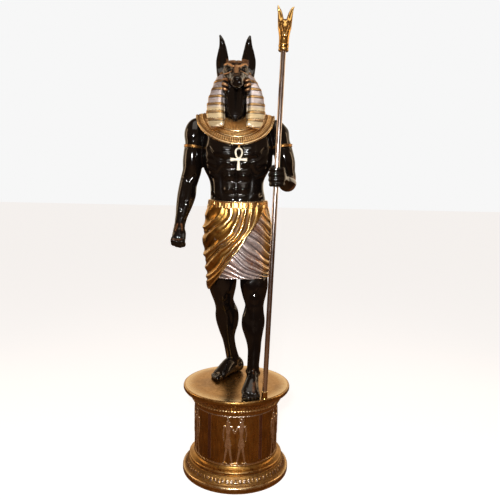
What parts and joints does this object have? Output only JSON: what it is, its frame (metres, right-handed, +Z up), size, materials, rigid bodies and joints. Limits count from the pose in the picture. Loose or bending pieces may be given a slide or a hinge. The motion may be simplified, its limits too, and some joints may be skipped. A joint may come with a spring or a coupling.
{
  "type": "guardian statue",
  "caption": "Life-size standing figure with a jackal's head, striped headdress, broad collar and wrapped kilt, holding a tall staff on a round relief plinth.",
  "frame": {"origin": "on the floor, at the middle of the plinth's flat underside", "axes": "+Z up, the figure faces -Y, +X is on the viewer's right when the figure is seen from the front"},
  "size_m": [0.6541, 0.5876, 2.3854],
  "materials": {
    "gilt_plinth": "antique gold leaf paint over cast resin, brown wash in the recesses",
    "figure_black": "gloss black enamel over cast resin, with gilt and silver painted dress",
    "steel_tube": "polished steel tube",
    "gilt_finial": "burnished gold",
    "gilt_ferrule": "burnished gold"
  },
  "bodies": {
    "root": {"plinth": "gilt_plinth", "figure": "figure_black", "staff_shaft": "steel_tube", "staff_head": "gilt_finial", "staff_ferrule": "gilt_ferrule"}
  },
  "joints": []
}
